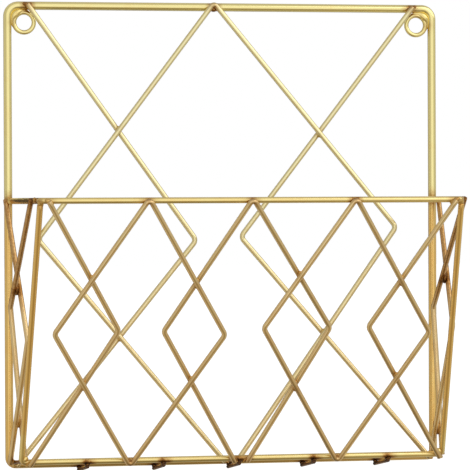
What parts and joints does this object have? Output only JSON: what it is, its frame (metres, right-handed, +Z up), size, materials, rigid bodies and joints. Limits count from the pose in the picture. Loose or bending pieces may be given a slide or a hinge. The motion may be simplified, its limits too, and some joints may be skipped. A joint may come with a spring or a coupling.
{
  "type": "wall magazine rack",
  "caption": "Wall-hung magazine rack of bent round wire: a tall crossed-wire back frame with an open-topped basket that leans out of its lower half and holds magazines upright.",
  "frame": {"origin": "on the wall, midway between the centres of the two hanging loops", "axes": "+X across to the viewer's right, +Y into the wall, +Z up"},
  "size_m": [0.3034, 0.1047, 0.3164],
  "materials": {
    "gold_frame": "steel wire with a bright gold-coloured electroplate",
    "gold_lattice": "thinner steel wire with the same gold-coloured electroplate"
  },
  "bodies": {
    "root": {"back_frame": "gold_frame", "hanging_loop_left": "gold_frame", "hanging_loop_right": "gold_frame", "basket_rim": "gold_frame", "front_frame": "gold_frame", "back_diamond": "gold_lattice", "front_diamond_1": "gold_lattice", "front_diamond_2": "gold_lattice", "front_diamond_3": "gold_lattice", "back_half_diamond_left": "gold_lattice", "back_half_diamond_right": "gold_lattice", "front_half_diamond_left": "gold_lattice", "front_half_diamond_right": "gold_lattice", "side_chevron_left_rear": "gold_lattice", "side_chevron_left_fore": "gold_lattice", "side_chevron_right_rear": "gold_lattice", "side_chevron_right_fore": "gold_lattice", "floor_wire_1": "gold_lattice", "floor_wire_2": "gold_lattice", "floor_wire_3": "gold_lattice", "floor_wire_4": "gold_lattice", "floor_wire_5": "gold_lattice", "floor_end_wire_left": "gold_lattice", "floor_end_wire_right": "gold_lattice"}
  },
  "joints": []
}
